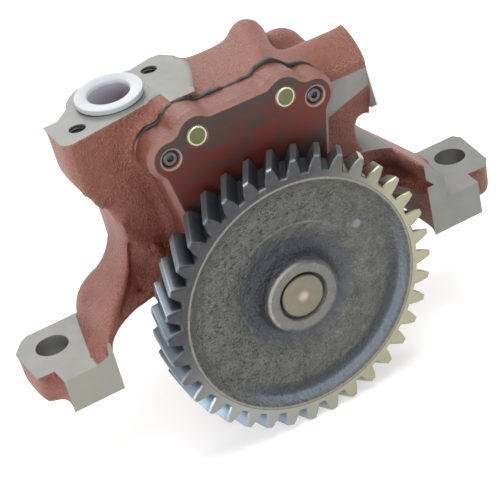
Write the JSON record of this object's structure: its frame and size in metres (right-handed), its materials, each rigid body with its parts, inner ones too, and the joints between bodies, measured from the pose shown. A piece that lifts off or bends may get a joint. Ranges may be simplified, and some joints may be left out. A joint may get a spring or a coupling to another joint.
{
  "type": "engine oil pump",
  "caption": "Gear driven engine oil pump: primed iron body on two arched feet, lobed front cover, helical drive gear on the shaft, top outlet flange and side inlet tube",
  "frame": {"origin": "midway between the two foot bolt holes, on the machined foot faces", "axes": "+X from the outlet side to the inlet side along the two feet, +Y from the drive gear to the rear wall along the shaft, +Z out of the machined foot faces"},
  "size_m": [0.216, 0.0904, 0.1476],
  "materials": {
    "red_primed_cast_iron": "thin red-brown primer over a rough sand casting, machined faces bare grey",
    "ground_cast_iron": "ground face with primer overspray, primed edge",
    "gasket_fibre": "dark fibre sheet with sealing paste",
    "hardened_gear_steel": "forged web, cut and hardened teeth",
    "ground_shaft_steel": "ground",
    "key_steel": "drawn bright steel",
    "rotor_steel": "ground",
    "bearing_bronze": "turned bronze",
    "spacer_steel": "turned",
    "zinc_plated_steel": "zinc plated",
    "dowel_steel": "hardened, ground",
    "yellow_zinc_steel": "yellow passivated zinc plating",
    "spring_steel": "oil hardened wire",
    "seal_aluminium": "soft flat ring",
    "white_polyethylene": "thin moulded, slightly translucent"
  },
  "bodies": {
    "housing": {"pump_body": "red_primed_cast_iron", "front_cover": "ground_cast_iron", "joint_gasket": "gasket_fibre", "cover_bushing": "bearing_bronze", "body_bushing": "bearing_bronze", "cup_plug": "zinc_plated_steel", "dowel_pins": "dowel_steel", "cover_bolts": "yellow_zinc_steel", "bolt_washers": "yellow_zinc_steel", "driven_gear_axle": "ground_shaft_steel", "relief_screw_plug": "zinc_plated_steel", "relief_seal": "seal_aluminium", "gallery_plug": "zinc_plated_steel", "relief_spring": "spring_steel"},
    "drive_rotor": {"drive_gear": "hardened_gear_steel", "drive_shaft": "ground_shaft_steel", "drive_gear_key": "key_steel", "rotor_key": "key_steel", "pumping_gear": "rotor_steel", "spacer_ring": "spacer_steel"},
    "driven_rotor": {"driven_gear": "rotor_steel", "driven_gear_bushing": "bearing_bronze"},
    "relief_valve": {"relief_plunger": "rotor_steel"},
    "outlet_cap": {"outlet_plug": "white_polyethylene"},
    "inlet_cap": {"inlet_plug": "white_polyethylene"}
  },
  "joints": [
    {"name": "drive_spin", "type": "hinge", "parent": "housing", "child": "drive_rotor", "pos_m": [-0.002, 0, -0.004], "axis": [0, 1, 0], "continuous": true},
    {"name": "driven_spin", "type": "hinge", "parent": "housing", "child": "driven_rotor", "pos_m": [-0.002, 0, 0.038], "axis": [0, 1, 0], "continuous": true},
    {"name": "relief_stroke", "type": "slide", "parent": "housing", "child": "relief_valve", "axis": [0, 0, -1], "range_m": [0, 0.008], "stiffness_N_per_m": 4000, "springref_m": -0.012, "deforming": ["relief_spring"]},
    {"name": "outlet_plug_pull", "type": "slide", "parent": "housing", "child": "outlet_cap", "axis": [0, 0, 1], "range_m": [0, 0.03]},
    {"name": "inlet_plug_pull", "type": "slide", "parent": "housing", "child": "inlet_cap", "axis": [1, 0, 0], "range_m": [0, 0.03]}
  ],
  "couplings": [
    {"joint": "driven_spin", "follows": "drive_spin", "ratio": -1}
  ]
}
